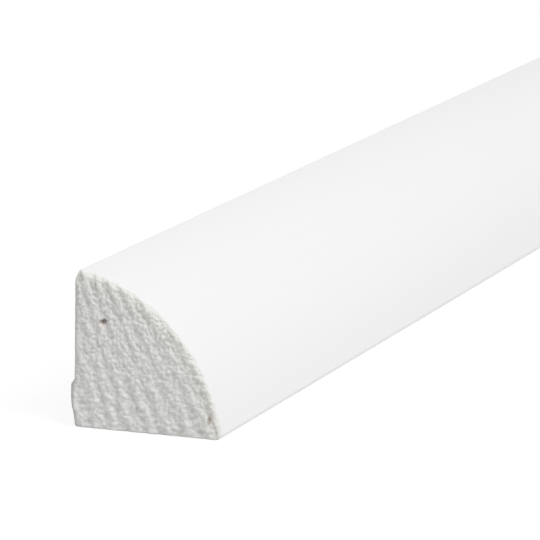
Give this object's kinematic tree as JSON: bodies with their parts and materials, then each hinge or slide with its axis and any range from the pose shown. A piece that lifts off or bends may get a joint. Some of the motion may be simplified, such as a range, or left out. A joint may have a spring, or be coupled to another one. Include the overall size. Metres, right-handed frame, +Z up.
{
  "type": "quarter round moulding",
  "caption": "Straight length of white foamed plastic quarter round trim: two flat legs at a right angle and a rounded face that covers the joint of floor and wall.",
  "frame": {"origin": "in the middle of the length, on the floor under the middle of the floor leg", "axes": "+X along the length, +Y out of the flat wall face, +Z up; the rounded face looks to -Y and up"},
  "size_m": [2.4384, 0.019, 0.019],
  "materials": {
    "white_foamed_plastic": "smooth satin extruded surface, with the sawn ends rough and open-celled"
  },
  "bodies": {
    "root": {"quarter_round": "white_foamed_plastic"}
  },
  "joints": []
}
